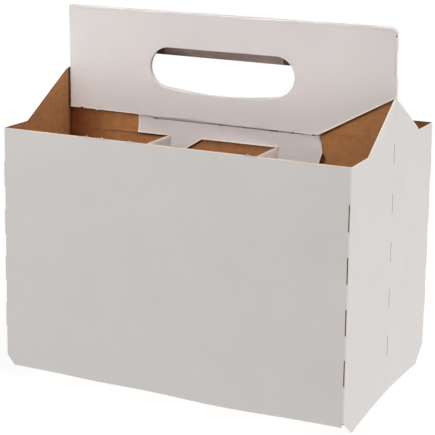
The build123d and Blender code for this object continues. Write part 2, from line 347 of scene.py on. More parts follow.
def sheet_mesh(name, patches, board, trim):
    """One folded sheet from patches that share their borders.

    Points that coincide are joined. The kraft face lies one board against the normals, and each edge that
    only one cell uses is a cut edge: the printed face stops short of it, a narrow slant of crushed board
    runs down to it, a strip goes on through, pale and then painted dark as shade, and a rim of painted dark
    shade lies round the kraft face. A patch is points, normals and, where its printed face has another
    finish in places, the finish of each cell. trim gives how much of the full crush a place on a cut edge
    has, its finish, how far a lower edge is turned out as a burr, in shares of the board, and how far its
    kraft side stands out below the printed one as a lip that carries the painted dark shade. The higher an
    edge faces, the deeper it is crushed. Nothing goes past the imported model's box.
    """
    points = np.concatenate([patch[0].reshape(-1, 3) for patch in patches])
    normals = np.concatenate([patch[1].reshape(-1, 3) for patch in patches])
    quads, finish, start = [], [], 0
    for patch in patches:
        shape = patch[0].shape[:2]
        cells = grid_quads(shape, start)
        quads.append(facing_out(points, normals, cells))
        finish.append(patch[2].reshape(-1) if len(patch) > 2 else np.full(len(cells), PRINTED))
        start += shape[0] * shape[1]
    quads, finish = np.concatenate(quads), np.concatenate(finish)

    _, first, index = np.unique(
        np.round(points / WELD).astype(np.int64), axis=0, return_index=True, return_inverse=True
    )
    index = index.reshape(-1)
    outer = points[first]
    summed = np.zeros_like(outer)
    np.add.at(summed, index, normals)
    summed /= np.linalg.norm(summed, axis=1, keepdims=True)
    inner = outer - board * summed
    quads = index[quads]

    repeat = quads == np.roll(quads, -1, axis=1)
    whole = repeat.sum(axis=1) == 0
    three = repeat.sum(axis=1) == 1
    triangles = quads[three][~repeat[three]].reshape(-1, 3)
    quads = quads[whole]
    finish = np.concatenate([finish[whole], finish[three]])

    count = len(outer)
    ahead = [np.stack([f, np.roll(f, -1, axis=1)], axis=-1).reshape(-1, 2) for f in (quads, triangles)]
    ahead = np.concatenate(ahead)
    forward = ahead[:, 0] * count + ahead[:, 1]
    backward = ahead[:, 1] * count + ahead[:, 0]
    rim = ahead[~np.isin(backward, forward)]
    border, place = np.unique(rim, return_inverse=True)
    crush, _, burr, lip = trim(outer[border])
    crush = crush[:, None]
    edge_finish = trim(outer[rim].mean(axis=1))[1]
    inward = inward_of(outer, summed, rim)[border]
    facing_up = -inward[:, 2:]
    depth = np.where(facing_up < 0, burr * facing_up, CRUSH_SHARE + CRUSH_TILT * facing_up)
    crushed = outer[border] - depth * crush * board * summed[border]
    behind = inner[border]
    middle = crushed + PALE_SHARE * (behind - crushed)
    behind -= lip[:, None] * inward
    outer[border] += CRUSH_WIDTH * crush * inward
    inner[border] += KRAFT_RIM * crush * inward
    near = place.reshape(rim.shape) + 2 * count
    between = near + len(border)
    far = between + len(border)
    rings = [rim, near, between, far, rim + count]
    bands = [
        np.stack([first[:, 1], first[:, 0], second[:, 0], second[:, 1]], axis=-1)
        for first, second in zip(rings, rings[1:])
    ]

    faces = quads.tolist() + triangles.tolist()
    faces += (quads[:, ::-1] + count).tolist() + (triangles[:, ::-1] + count).tolist()
    faces += np.concatenate(bands).tolist()
    raw = edge_finish == RAW_EDGE
    # The far half of a raw edge's strip and the rim round its kraft face are painted dark as shade
    band_finish = [edge_finish, edge_finish, np.where(raw, SHADE, edge_finish), np.where(raw, SHADE, KRAFT)]
    material = np.concatenate([finish, np.full(len(finish), KRAFT), *band_finish])
    mesh = bpy.data.meshes.new(name)
    points = np.clip(np.concatenate([outer, inner, crushed, middle, behind]), *cad_box)
    mesh.from_pydata(points, [], faces)
    mesh.polygons.foreach_set("material_index", material.astype(np.int32))
    mesh.polygons.foreach_set("use_smooth", np.ones(len(faces), dtype=bool))
    mesh.set_sharp_from_angle(angle=SHARP_ANGLE)
    return mesh


def add_sheet(context, name, patches, trim=plain_trim):
    """Makes the sheet an object that stands for part of the carrier."""
    board = context.scene.carrier_body.board
    mesh = sheet_mesh(name, patches, board, trim)
    for material in board_materials(context.scene.carrier_finish):
        mesh.materials.append(material)
    piece = bpy.data.objects.new(name, mesh)
    context.scene.collection.objects.link(piece)
    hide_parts(NODE)
    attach(piece, BODY)
    return piece


# Levels and places that follow from the sizes

def panel_top(body):
    """Height of the side panels' top edge."""
    return body.fold_level + body.side_height


def lean_height(body):
    """The height over which the right end leans in by its full lean."""
    return panel_top(body) + body.left_gable_peak


def right_edge(body, level):
    """Where the right end panel's corners are at a level: the panel leans in evenly with height."""
    return body.foot_length / 2 - body.lean * level / lean_height(body)


def apex(body):
    """Where the right end's centre fold is at its top."""
    return body.foot_length / 2 - body.lean - body.tuck_top


def handle_top(scene):
    """Height of the handle's top."""
    return panel_top(scene.carrier_body) + scene.carrier_handle.rise


def handle_left(scene):
    """The handle's left edge at its foot."""
    body = scene.carrier_body
    return -body.foot_length / 2 + body.board + scene.carrier_handle.left_gap


def hole_top(scene):
    """Height of the hand hole's top."""
    return handle_top(scene) - scene.carrier_handle.hole_below_top


def hole_reach(handle):
    """Half the length of the hand hole."""
    return handle.hole_half_span + handle.hole_radius


def window_level(scene):
    """Height of the tops of the front ply's windows."""
    return panel_top(scene.carrier_body) - scene.carrier_partition.ply_band


def nest_level(straps, top, run):
    """Height of the slanted cut between two nested straps, at a distance from the wide one's hinge."""
    return top - straps.slope_fall / straps.slope_run * (run - straps.flat_top)


# Walls and floor

# The groove at a slit, and the kinds of stations round it
SLIT_END = 0.4 * MM
SLIT_DEPTH = 0.6 * MM
SLIT_GAP = 0.58 * MM
SLIT_SIDE = 0.03 * MM
SURFACE, DEEP, EDGE = 0, 1, 2
CENTRE_SLIT = np.array([0, 0.15, 0.28, 0.55, 0.9, 1.4]) * MM
CENTRE_BEND = 2 * MM

# The bead down the right end's centre fold, and the nicks in the front panel's top edge
BEAD_HEIGHT = 0.15 * MM
BEAD_REACH = 0.5 * MM
SIDE_NICKS = (-46.7, -37.7, -21.9, 42.5)
NICK_WIDTH = 0.8 * MM
NICK_HEIGHT = 0.7 * MM
NICK_STATIONS = NICK_WIDTH * np.array([-1, -0.4, 0, 0.4, 1])
NICK_TOP = 1.2
NICK_CLEAR = 1.3

# The sag of the front floor fold: place, reach and share of each dip in millimetres, and where it fades
SAG_PLACES = ((30.0, 34.0, 1.0), (-39.0, 20.0, 0.4))
SAG_HEIGHT = 30 * MM
SAG_END = 8 * MM
SAG_FADE = 12 * MM

# How close the points of the walls, the floor and the lap are
WALL_STEP = 3.4 * MM
SIDE_STEP = 3.2 * MM
FLOOR_STEP = 4 * MM
LAP_STEPS = (6 * MM, 5 * MM)
CREST_RUN = 8 * MM
FOOT_ROWS = np.linspace(0, 1, 3)[:-1]
GABLE_ROWS = np.linspace(0, 1, 4)[1:]


def slit_levels(body, drop, slit_length):
    """The middles of a fold's slits, evenly spaced downwards as far as one still ends above the foot."""
    first = panel_top(body) - drop
    lowest = body.fold_level + body.left_corner_rise + slit_length / 2
    return first - body.score_pitch * np.arange(int((first - lowest) / body.score_pitch) + 1)


def in_slits(body, level, drop, slit_length):
    """How far a level lies inside the slits of a fold: 1 inside them, falling to 0 at their ends."""
    away = np.abs(level[..., None] - slit_levels(body, drop, slit_length)).min(axis=-1)
    return np.clip((slit_length / 2 - away) / SLIT_END, 0, 1)


def wall_levels(body, step):
    """Levels between the corners of the foot and the side panels' top, with the slits' ends among them."""
    levels = [spaced(body.fold_level + body.left_corner_rise + body.fold, panel_top(body), step)]
    for drop, slit_length in (
        (body.corner_slit_drop, body.corner_slit_length),
        (body.centre_slit_drop, body.centre_slit_length),
    ):
        middles = slit_levels(body, drop, slit_length)
        for reach in (slit_length / 2, slit_length / 2 - SLIT_END):
            levels += [middles - reach, middles + reach]
    return np.unique(np.concatenate(levels))


def corner_stations(body):
    """A corner fold in plan, from its first panel to its second, station by station.

    A station is turn, along, out, aim and kind. turn is the angle round the bend where the board is
    whole. At a slit the first panel stops short and the second one runs on to the corner, so there a
    station lies along and out from the middle of the bend, and the board's thickness lies against the
    angle aim.
    """
    fold = body.fold
    bottom = fold - SLIT_DEPTH
    return np.array(
        [
            (12, SLIT_SIDE, bottom, 12, DEEP),
            (30, SLIT_GAP - SLIT_SIDE, bottom, 30, DEEP),
            (36, SLIT_GAP, fold, 0, EDGE),
            (60, fold, fold, 17, EDGE),
            (76, fold, fold / 2, 76, SURFACE),
        ]
    )


def gable_edge(body, y, left):
    """Top edge of an end panel: level, then straight slopes, and a round top on the left one."""
    peak = body.left_gable_peak if left else body.gable_rise
    run = body.left_gable_run if left else body.gable_half_run
    slope = peak / run
    edge = panel_top(body) + peak - slope * np.minimum(np.abs(y), run)
    if left:
        radius = body.left_gable_round
        half_angle = math.atan(slope)
        centre = panel_top(body) + peak - radius / math.cos(half_angle)
        crest = centre + np.sqrt(np.maximum(radius**2 - y**2, 0))
        edge = np.where(np.abs(y) < radius * math.sin(half_angle), crest, edge)
    return edge


def end_foot(body, y, left):
    """Bottom edge of an end panel: a shallow arch between two slants that rise to the corners."""
    run = body.left_foot_run if left else body.foot_corner_run
    lobe = body.width / 2 - run
    corner = body.fold_level + (body.left_corner_rise if left else body.right_corner_rise)
    arch = body.foot_arch * (1 - (y / lobe) ** 2)
    slant = corner * (np.abs(y) - lobe) / run
    return np.where(np.abs(y) < lobe, arch, slant)


def side_foot(body, x):
    """Bottom edge of a side panel: slanted corners, and between them the start of the floor's fold."""
    left_end, right_end = -body.foot_length / 2, body.foot_length / 2
    left_fold, right_fold = floor_span(body)
    places = [
        left_end, left_fold - WELD, left_fold, right_fold, right_fold + WELD,
        right_end - body.right_corner_run, right_end,
    ]
    fold_start = body.fold_level + body.fold
    levels = [
        body.fold_level + body.left_corner_rise, body.fold_level, fold_start, fold_start, body.fold_level,
        body.fold_level, body.fold_level + body.right_corner_rise,
    ]
    return np.interp(x, places, levels)


def floor_span(body):
    """The floor's left and right ends."""
    left = -body.foot_length / 2 + body.left_corner_run
    right = body.foot_length / 2 - body.board - body.floor_end_gap
    return left, right


def sagged(body, points):
    """Lets the front floor fold sag: two soft dips along it, fading up the panel and across the floor."""
    x, y, z = points[..., 0], points[..., 1], points[..., 2]
    dip = sum(part * np.exp(-(((x - place * MM) / (reach * MM)) ** 2)) for place, reach, part in SAG_PLACES)
    fade_up = faded(z - body.fold_level, SAG_HEIGHT) ** 2
    fade_back = np.clip(0.5 - y / body.width, 0, 1) ** 2
    inside = np.clip((body.foot_length / 2 - SAG_END - np.abs(x)) / SAG_FADE, 0, 1)
    points[..., 2] -= body.sag * dip * fade_up * fade_back * inside
    return points


def side_columns(body):
    """Places along a side panel as shares of its length, dense at nicks and at the floor fold's ends."""
    reach = body.foot_length / 2 - body.fold
    level = body.fold_level + body.fold
    total = right_edge(body, level) - body.fold + reach
    places = spaced(-reach, total - reach, SIDE_STEP)
    for nick in SIDE_NICKS:
        beside = np.abs(places - nick * MM) > NICK_CLEAR * NICK_WIDTH
        places = np.concatenate([places[beside], nick * MM + NICK_STATIONS])
    fold_ends = floor_span(body)
    for end, way in zip(fold_ends, (-1, 1)):
        places = np.concatenate([places[np.abs(places - end) > MM], [end, end + way * 2 * WELD]])
    places = np.append(places, [body.foot_length / 2 - body.right_corner_run, total - reach])
    return (np.unique(places) + reach) / total


def side_run(body, part):
    """Where shares of a side panel's length are: x at the foot and x at the lean's full height."""
    half, fold = body.foot_length / 2, body.fold
    x_foot = -half + fold + part * (2 * half - 2 * fold)
    return x_foot, -half + fold + part * (2 * half - 2 * fold - body.lean)


def wall_outline(body):
    """The walls in plan, from the left seam round the front and the back to the seam again.

    Gives for each station x at the foot, x at the lean's full height, y, the printed face's direction, the
    lower and the upper edge, how far it moves in x and y at a slit, how its direction changes there, whether
    its slits are those of the centre fold, and its kind.
    """
    half, wide, fold = body.foot_length / 2, body.width / 2, body.fold
    top = panel_top(body)
    rows = []

    def add(x_foot, x_top, y, face_x, face_y, low, high, move=(0, 0, 0, 0), centre=0, kind=SURFACE):
        parts = np.broadcast_arrays(x_foot, x_top, y, face_x, face_y, low, high, *move, centre, kind)
        rows.append(np.stack([np.asarray(p, float).reshape(-1) for p in parts], axis=-1))

    def end_panel(y, left):
        low, high = end_foot(body, y, left), gable_edge(body, y, left)
        if left:
            add(-half, -half, y, -1.0, 0.0, low, high)
            return
        inward = 1 - np.abs(y) / wide
        bead = BEAD_HEIGHT * np.exp(-((y / BEAD_REACH) ** 2))
        x_foot = half - body.tuck_foot * inward + bead
        x_top = half - body.lean - body.tuck_top * inward + bead
        deep = np.abs(y) < CENTRE_SLIT[1] + WELD
        centre = np.abs(y) < CENTRE_SLIT[-1] + WELD
        move = (-SLIT_DEPTH * deep, 0, 0, 0)
        add(x_foot, x_top, y, 1.0, 0.0, low, high, move, centre, np.where(deep, DEEP, SURFACE))

    def corner(left, front):
        turn, along, out, aim, kind = corner_stations(body).T
        turn, aim = np.radians(turn), np.radians(aim)
        side_face = np.array([0.0, -1.0 if front else 1.0])
        end_face = np.array([-1.0 if left else 1.0, 0.0])
        first, second = (end_face, side_face) if left else (side_face, end_face)
        facing = np.outer(np.cos(turn), first) + np.outer(np.sin(turn), second)
        move = np.outer(out, first) + np.outer(along, second) - fold * facing
        swing = np.outer(np.cos(aim), first) + np.outer(np.sin(aim), second) - facing
        if not front:
            facing, move, swing, kind = facing[::-1], move[::-1], swing[::-1], kind[::-1]
        x_foot = end_face[0] * (half - fold) + fold * facing[:, 0]
        x_top = x_foot - (0 if left else body.lean)
        y = side_face[1] * (wide - fold) + fold * facing[:, 1]
        low = body.fold_level + (body.left_corner_rise if left else body.right_corner_rise)
        add(x_foot, x_top, y, *facing.T, low, top, (*move.T, *swing.T), 0, kind)

    def side_panel(front):
        part = side_columns(body) if front else side_columns(body)[::-1]
        x_foot, x_top = side_run(body, part)
        at_fold = x_foot + (x_top - x_foot) * (body.fold_level + fold) / lean_height(body)
        face = -1.0 if front else 1.0
        nick = near_marks(at_fold, SIDE_NICKS) if front else 0.0
        add(x_foot, x_top, face * wide, 0.0, face, side_foot(body, at_fold), top + NICK_HEIGHT * nick)

    y_end = wide - fold
    half_end = joined(
        spaced(0, CREST_RUN, MM),
        spaced(CREST_RUN, body.gable_half_run, STEP),
        spaced(body.gable_half_run, y_end, STEP),
    )
    lobes = wide - np.array([body.foot_corner_run, body.left_foot_run])
    half_end = np.unique(np.concatenate([half_end, lobes, [body.left_gable_run]]))
    right_half = np.unique(np.concatenate([CENTRE_SLIT, half_end[half_end > CENTRE_BEND]]))
    seam_front, seam_back = fold - body.board, fold + body.board
    end_panel(-np.unique(np.append(half_end[half_end > seam_front], seam_front)), True)
    corner(True, True)
    side_panel(True)
    corner(False, True)
    end_panel(-right_half[::-1], False)
    end_panel(right_half[1:], False)
    corner(False, False)
    side_panel(False)
    corner(True, False)
    end_panel(np.unique(np.append(half_end[half_end > seam_back], seam_back))[::-1], True)
    return np.concatenate(rows)


def wall_trim(scene):
    """The walls' trim: plain, but the foot and the right gable's back slope are clean and coated."""
    body = scene.carrier_body
    foot_level = body.fold_level + body.left_corner_rise + body.fold
    slope_level = panel_top(body) + MM

    def trim(points):
        back_slope = (points[:, 0] > 0) & (points[:, 1] > MM) & (points[:, 2] > slope_level)
        clean = (points[:, 2] < foot_level) | back_slope
        return eased(clean, plain_trim(points), HOLE_CRUSH, PRINTED)

    return trim


def wall_patch(body):
    """The four walls as one ruled grid over their outline in plan, with a closed groove at each slit.

    A point's x runs evenly from its place at the foot to its place at the lean's full height, and at a slit
    it moves over to its place there. The side panels are drawn in by a smooth swell, none at their edges.
    """
    outline = wall_outline(body)
    x_foot, x_top, y, face_x, face_y, low, high, move_x, move_y, swing_x, swing_y, centre, kind = outline.T
    levels = wall_levels(body, WALL_STEP)
    start, top = levels[0], levels[-1]
    z = np.concatenate(
        [
            low[:, None] + (start - low[:, None]) * FOOT_ROWS,
            np.broadcast_to(levels, (len(y), len(levels))),
            top + (high[:, None] - top) * GABLE_ROWS,
        ],
        axis=1,
    )
    x = x_foot[:, None] + (x_top - x_foot)[:, None] * z / lean_height(body)
    points = np.stack([x, np.broadcast_to(y[:, None], z.shape), z], axis=-1)
    normals = np.stack(
        [
            np.broadcast_to(face_x[:, None], z.shape),
            np.broadcast_to(face_y[:, None], z.shape),
            np.zeros_like(z),
        ],
        axis=-1,
    )
    at_corner = in_slits(body, z, body.corner_slit_drop, body.corner_slit_length)
    at_centre = in_slits(body, z, body.centre_slit_drop, body.centre_slit_length)
    cut = np.where(centre[:, None] > 0, at_centre, at_corner)
    points[..., 0] += move_x[:, None] * cut
    points[..., 1] += move_y[:, None] * cut
    normals[..., 0] += swing_x[:, None] * cut
    normals[..., 1] += swing_y[:, None] * cut
    flat = np.abs(face_y[:, None]) > 0.999
    half = body.foot_length / 2 - body.fold
    rise = (z - body.fold_level - body.fold) / (top - body.fold_level - body.fold)
    swell = np.clip(1 - (x / half) ** 2, 0, 1) * np.sin(np.pi * np.clip(rise, 0, 1)) ** 2
    points -= normals * (body.bow * np.where(flat, swell, 0))[..., None]

    inside = least_of_cells(cut) > 0.5
    # In a slit the groove's deep cells are painted grey-brown as shade
    pair = np.stack([kind[:-1], kind[1:]])
    at_slit = np.where((pair == EDGE).all(axis=0), RAW_EDGE, PRINTED)
    at_slit = np.where((pair == DEEP).any(axis=0), PAINTED_GREY_SHADE, at_slit)
    return sagged(body, points), normals, np.where(inside, at_slit[:, None], PRINTED)


def floor_patch(body):
    """The floor with its two folds: a flat run between two quarter turns, carried along the carrier."""
    fold, wide = body.fold, body.width / 2
    level = body.fold_level + fold
    x, x_top = side_run(body, side_columns(body))
    x = x + (x_top - x) * level / lean_height(body)
    left, right = floor_span(body)
    x = x[(x > left - WELD) & (x < right + WELD)]
    front, front_face = arc((-wide + fold, level), fold, 180, 270)
    back, back_face = arc((wide - fold, level), fold, 270, 360)
    across = spaced(front[-1, 0], back[0, 0], FLOOR_STEP)[1:-1]
    middle = np.stack([across, np.full_like(across, body.fold_level)], axis=-1)
    middle_face = np.tile([0.0, -1.0], (len(across), 1))
    profile = np.concatenate([front, middle, back])
    facing = np.concatenate([front_face, middle_face, back_face])
    points, normals = carried(x, profile, facing)
    return sagged(body, points), normals


def lap_patch(body):
    """The glue lap that lies on the floor along the back."""
    left, right = floor_span(body)
    inner = body.width / 2 - body.board
    x = spaced(left, right, LAP_STEPS[0])
    y = spaced(inner - body.floor_lap, inner, LAP_STEPS[1])
    profile = np.stack([y, np.full_like(y, body.fold_level + body.board)], axis=-1)
    points, normals = carried(x, profile, (0, -1))
    return sagged(body, points), normals


# Handle, partition and front ply

# How close their points are
HOLE_COLUMNS = 56
BELOW_HOLE_ROWS = np.linspace(0, 1, 13)
ABOVE_HOLE_ROWS = np.append(np.linspace(0, 0.97, 16), 1)
FEW_ROWS = np.linspace(0, 1, 4)
PLY_ROWS = np.array([0, 0.2, 0.4, 0.6, 0.8, 0.93, 0.945, 0.975, 0.99, 1])
BAND_ROWS, UPPER_ROWS, LOWER_ROWS = np.linspace(0, 1, 9), np.linspace(0, 1, 17), np.linspace(0, 1, 11)
RISER_ROWS = np.linspace(0, 1, 41)
STRAP_ROWS = np.linspace(0, 1, 13)

# The lean of the plies near the handle's ends, and how they lie on each other
LEAN_REACH = 45 * MM
PARTITION_LEAN = 1.6 * MM
PLY_GAP = 0.04 * MM
CREST_FOLDS = 1.4

# The lip in the hand hole, the front ply's flare and curl, and its kraft lips, painted dark as shade
LIP_ROOT = 0.6 * MM
LIP_SHADE = 3 * MM
WIDE_SHADE_LIP = 0.9 * MM
TIP_SHADE_LIP = 2.2 * MM
PLY_FLARE = 0.6 * MM
PLY_CURL = 1.4 * MM
FLARE_RISE = 4 * MM
FLARE_RUN = 5 * MM
CURL_START = 8 * MM

# Notches and teeth along the handle's foot, in millimetres along the carrier
NOTCH_SHARE = 1.3
FOOT_NOTCHES = (-87.7, -21.9, 26.3, 37.7)
FOOT_TABS = (-78.2, -42.0, 5.6, 45.3)

# The fold at the handle's right edge: heights and reach of its bridges, its cut, painted grey-brown as
# shade, and its small hole, painted dark as shade
CREASE = 0.12 * MM
FOLD_SWELL = 0.25
BRIDGES = (
    (158.9, 0.3), (159.7, 0.8), (167.8, 0.8), (168.6, 0.3), (182.7, 0.3), (183.5, 0.8), (188.5, 0.8),
)
CUT_LEVELS = (168.2, 183.1)
PAINTED_CORNER_HOLE = (189.3, 190.8)

# The scored line on the front ply, painted grey-brown as shade with spots painted dark as shade, and the
# faint ridge across the partition
SCORE_DEPTH = 0.25 * MM
SCORE_SPAN = (-44.3, 45.3)
SCORE_SPOTS = (-42.0, -3.6, 26.1, 28.4, 37.7, 45.3, 49.4)
SPOT_WIDTH = 0.9 * MM
RIDGE_HEIGHT = 0.35 * MM
RIDGE_WIDTH = 0.3 * MM
RIDGE_LINE = ((-83.5, 126.5), (-53.5, 127.4))
RIDGE_LEVELS = np.arange(125.9, 128.1, 0.2) * MM


def hole_outline(scene, x, drop):
    """Bottom and top of the hand hole at x: level top, round ends, and a bottom that is one wide arc.

    The wide arc touches both ends. With a drop the top is that much lower, and level from end to end.
    """
    handle = scene.carrier_handle
    radius, span = handle.hole_radius, handle.hole_half_span
    top = hole_top(scene)
    centre = top - radius
    gap = radius + handle.hole_bow
    wide_radius = (span**2 + gap**2 - radius**2) / (2 * (gap - radius))
    wide_centre = centre - gap + wide_radius
    turn = span * wide_radius / (wide_radius - radius)
    away = np.abs(x - handle.hole_centre)
    end = np.sqrt(np.maximum(radius**2 - np.maximum(away - span, 0) ** 2, 0))
    high = np.full_like(x, top - drop) if drop else centre + end
    wide_arc = wide_centre - np.sqrt(wide_radius**2 - np.minimum(away, turn) ** 2)
    low = np.where(away < turn, wide_arc, centre - end)
    return low, high, centre


def hole_trim(scene):
    """The trim of a sheet with the hand hole: round the hole it is barely crushed and keeps its coating."""
    handle = scene.carrier_handle
    reach = hole_reach(handle) + MM
    middle = hole_top(scene) - handle.hole_radius

    def trim(points):
        at_hole = np.abs(points[:, 0] - handle.hole_centre) < reach
        at_hole &= np.abs(points[:, 2] - middle) < handle.hole_radius + handle.hole_bow + MM
        crush, finish, _, lip = eased(at_hole, plain_trim(points), HOLE_CRUSH, PRINTED)
        return crush, finish, BURR, lip

    return trim


def handle_trim(scene):
    """The handle's trim: as round the hand hole, and its foot stays coated where it lies on the front ply.

    A kraft lip painted dark as shade runs along the slanted edge, the foot left of the front ply, and up
    beside the left gable.
    """
    body, handle, part = scene.carrier_body, scene.carrier_handle, scene.carrier_partition
    left = handle_left(scene)
    gable_level = panel_top(body) + body.left_gable_peak / 2
    notch = apex(body) - handle.notch_run
    foot_level = panel_top(body) + handle.foot_rise + 2 * NICK_HEIGHT
    round_hole = hole_trim(scene)

    def trim(points):
        x, z = points[:, 0], points[:, 2]
        on_ply = (x > part.ply_left) & (x < notch) & (z < foot_level)
        lip = np.where((x > notch) | ((x < part.ply_left) & (z < foot_level)), SHADE_LIP, 0)
        at_left = (x < left + HINGE_REACH) & (z > foot_level)
        lip = np.where(at_left & (z < gable_level), LEFT_SHADE_LIP, lip)
        crush, finish, burr, _ = eased(on_ply | at_left, round_hole(points), FOOT_CRUSH, PRINTED)
        return crush, finish, burr, lip

    return trim


def strap_trim(scene):
    """A strap's trim: plain, but its hinge only bends, so it is barely crushed and stays coated."""
    reach = scene.carrier_body.board + HINGE_REACH

    def trim(points):
        return eased(np.abs(points[:, 1]) < reach, plain_trim(points), HOLE_CRUSH, PRINTED)

    return trim


def hole_columns(handle):
    """Places across the hand hole, closer together towards its round ends."""
    turn = np.linspace(-np.pi / 2, np.pi / 2, HOLE_COLUMNS)
    return handle.hole_centre + hole_reach(handle) * np.sin(turn)


def holed_patches(scene, columns, low, high, drop, shape):
    """Two ruled grids, below and above the hand hole, that meet on one level line beyond its ends.

    shape turns the flat grid into points and normals.
    """
    handle = scene.carrier_handle
    hole_low, hole_high, centre = hole_outline(scene, columns, drop)
    beyond = np.abs(columns - handle.hole_centre) > hole_reach(handle) - WELD / 10
    hole_low, hole_high = np.where(beyond, centre, hole_low), np.where(beyond, centre, hole_high)
    below = shape(*flat_grid(columns, low, hole_low, BELOW_HOLE_ROWS), False)
    above = shape(*flat_grid(columns, hole_high, high, ABOVE_HOLE_ROWS), True)
    return [below, above]


def handle_columns(scene):
    """Places along the handle."""
    body, handle = scene.carrier_body, scene.carrier_handle
    left, right = handle_left(scene), apex(body)
    hole = hole_columns(handle)
    notch = right - handle.notch_run
    marks = [place * MM + NICK_STATIONS for place in FOOT_NOTCHES + FOOT_TABS]
    after = joined(spaced(hole[-1], notch, STEP), spaced(notch, right, STEP))
    corner = right - handle.corner_radius * (1 - np.sin(np.linspace(0, np.pi / 2, 7)))
    after = np.concatenate([after[after < corner[0] - MM / 2], corner])
    return snapped(np.concatenate([spaced(left, hole[0], STEP), hole, after, *marks]))


def handle_foot(scene, x):
    """The handle's lower edge: nearly level, then a slant up to the right gable, with notches and teeth."""
    body, handle = scene.carrier_body, scene.carrier_handle
    left, right = handle_left(scene), apex(body)
    places = [left, right - handle.notch_run, right]
    levels = [
        panel_top(body) + handle.foot_rise, panel_top(body), panel_top(body) + body.gable_rise - body.board
    ]
    edge = np.interp(x, places, levels)
    return edge + NICK_HEIGHT * (NOTCH_SHARE * near_marks(x, FOOT_NOTCHES) - near_marks(x, FOOT_TABS))


def fold_over(edge, pressed, reach, outer, finish):
    """A fold along an edge of the handle: half an ellipse that swells, from the front ply to the back ply.

    edge is the plies' border in X and Z, pressed how far it is creased in there, reach how far the fold
    stands out past it, and outer half the handle's thickness.
    """
    angle = np.linspace(0, np.pi, 13)
    along = np.gradient(edge, axis=0)
    away = np.stack([-along[:, 1], along[:, 0]], axis=-1)
    away /= np.linalg.norm(away, axis=1, keepdims=True)
    out = reach[:, None] * np.sin(angle)
    side = np.tile(-outer * np.cos(angle) * (1 + FOLD_SWELL * np.sin(angle)), (len(edge), 1))
    side[:, 0], side[:, -1] = pressed - outer, outer - pressed
    points = np.stack([edge[:, :1] + away[:, :1] * out, side, edge[:, 1:] + away[:, 1:] * out], axis=-1)
    normals = np.empty_like(points)
    normals[..., 0] = away[:, :1] * np.sin(angle)
    normals[..., 1] = -np.cos(angle)
    normals[..., 2] = away[:, 1:] * np.sin(angle)
    return points, normals, np.tile(finish[:, None], (1, len(angle) - 1))


def handle_patches(scene):
    """The two outer plies of the handle and the fold that joins them along the top and down the right edge.

    The flat grid is drawn out at both ends so that the left edge spreads and the right edge leans in. The
    fold stands out as a crest along the top and as two bridges at the right, with a slit between them.
    """
    body, handle = scene.carrier_body, scene.carrier_handle
    left, right = handle_left(scene), apex(body)
    foot = panel_top(body) + handle.foot_rise
    apex_level = panel_top(body) + body.gable_rise - body.board
    full = handle_top(scene)
    outer = 2 * body.board
    columns = handle_columns(scene)
    rounding = np.maximum(columns - (right - handle.corner_radius), 0)
    high = full - handle.crest_height - handle.corner_radius + np.sqrt(handle.corner_radius**2 - rounding**2)

    def drawn(across, up):
        spread = body.board + handle.left_gap
        lean = handle.right_lean * np.clip((up - apex_level) / (full - apex_level), 0, 1)
        near_right = faded(right - across, LEAN_REACH)
        height = np.clip((up - foot) / (full - foot), 0, 1)
        across = across - faded(across - left, LEAN_REACH) * spread * height
        return across - near_right * lean

    def face(side):
        def shape(across, up, above):
            pressed = np.zeros_like(up)
            pressed[-2:] = (up[-2:] > CUT_LEVELS[0] * MM) & (up[-2:] < CUT_LEVELS[1] * MM)
            finish = np.full((up.shape[0] - 1, up.shape[1] - 1), PRINTED)
            # The cut between the bridges is painted grey-brown as shade
            finish[-1] = np.where(pressed[-1, :-1] * pressed[-1, 1:] > 0, PAINTED_GREY_SHADE, PRINTED)
            if above:
                pressed[:, -1] = 1
            return *upright(drawn(across, up), up, side * (outer - CREASE * pressed), side), finish
        return shape

    low = handle_foot(scene, columns)
    front = holed_patches(scene, columns, low, high, 0.0, face(-1))
    back = holed_patches(scene, columns, low, high, 0.0, face(1))
    below, above = front[0][0], front[1][0]
    edge = np.concatenate([above[:, -1], above[-1, -2::-1], below[-1, -2::-1]])
    level = edge[:, 2] / MM
    over = np.arange(len(edge)) < len(columns)
    turned = np.clip((full - handle.crest_height - edge[:, 2]) / handle.corner_radius, 0, 1)
    crest = handle.crest_height + (BRIDGES[-1][1] * MM - handle.crest_height) * turned
    bridge_levels, bridge_reach = np.array(BRIDGES).T
    reach = np.where(over, crest, np.interp(level, bridge_levels, bridge_reach) * MM)
    at_right = edge[:, 0] > right - handle.corner_radius
    # The small hole in the corner fold is creased in and painted dark as shade
    painted_hole = (level > PAINTED_CORNER_HOLE[0]) & (level < PAINTED_CORNER_HOLE[1]) & at_right
    reach[painted_hole] = CREASE
    finish = np.where(painted_hole[:-1] & painted_hole[1:], SHADE, PRINTED)
    fold = fold_over(edge[:, [0, 2]], outer - np.abs(edge[:, 1]), reach, outer, finish)
    return front + back + [fold]


def lip_pushed(scene, across, up, above):
    """How far the inner plies' lip in the hole is bent back: more lower down and further left."""
    handle = scene.carrier_handle
    if not above:
        return np.zeros_like(up)
    hang = np.clip((hole_top(scene) + LIP_ROOT - up) / (handle.lip_drop + LIP_ROOT), 0, 1)
    along = (across - handle.hole_centre) / hole_reach(handle)
    return handle.lip_push * hang**2 * (1 - along) / 2 * (np.abs(along) < 1)


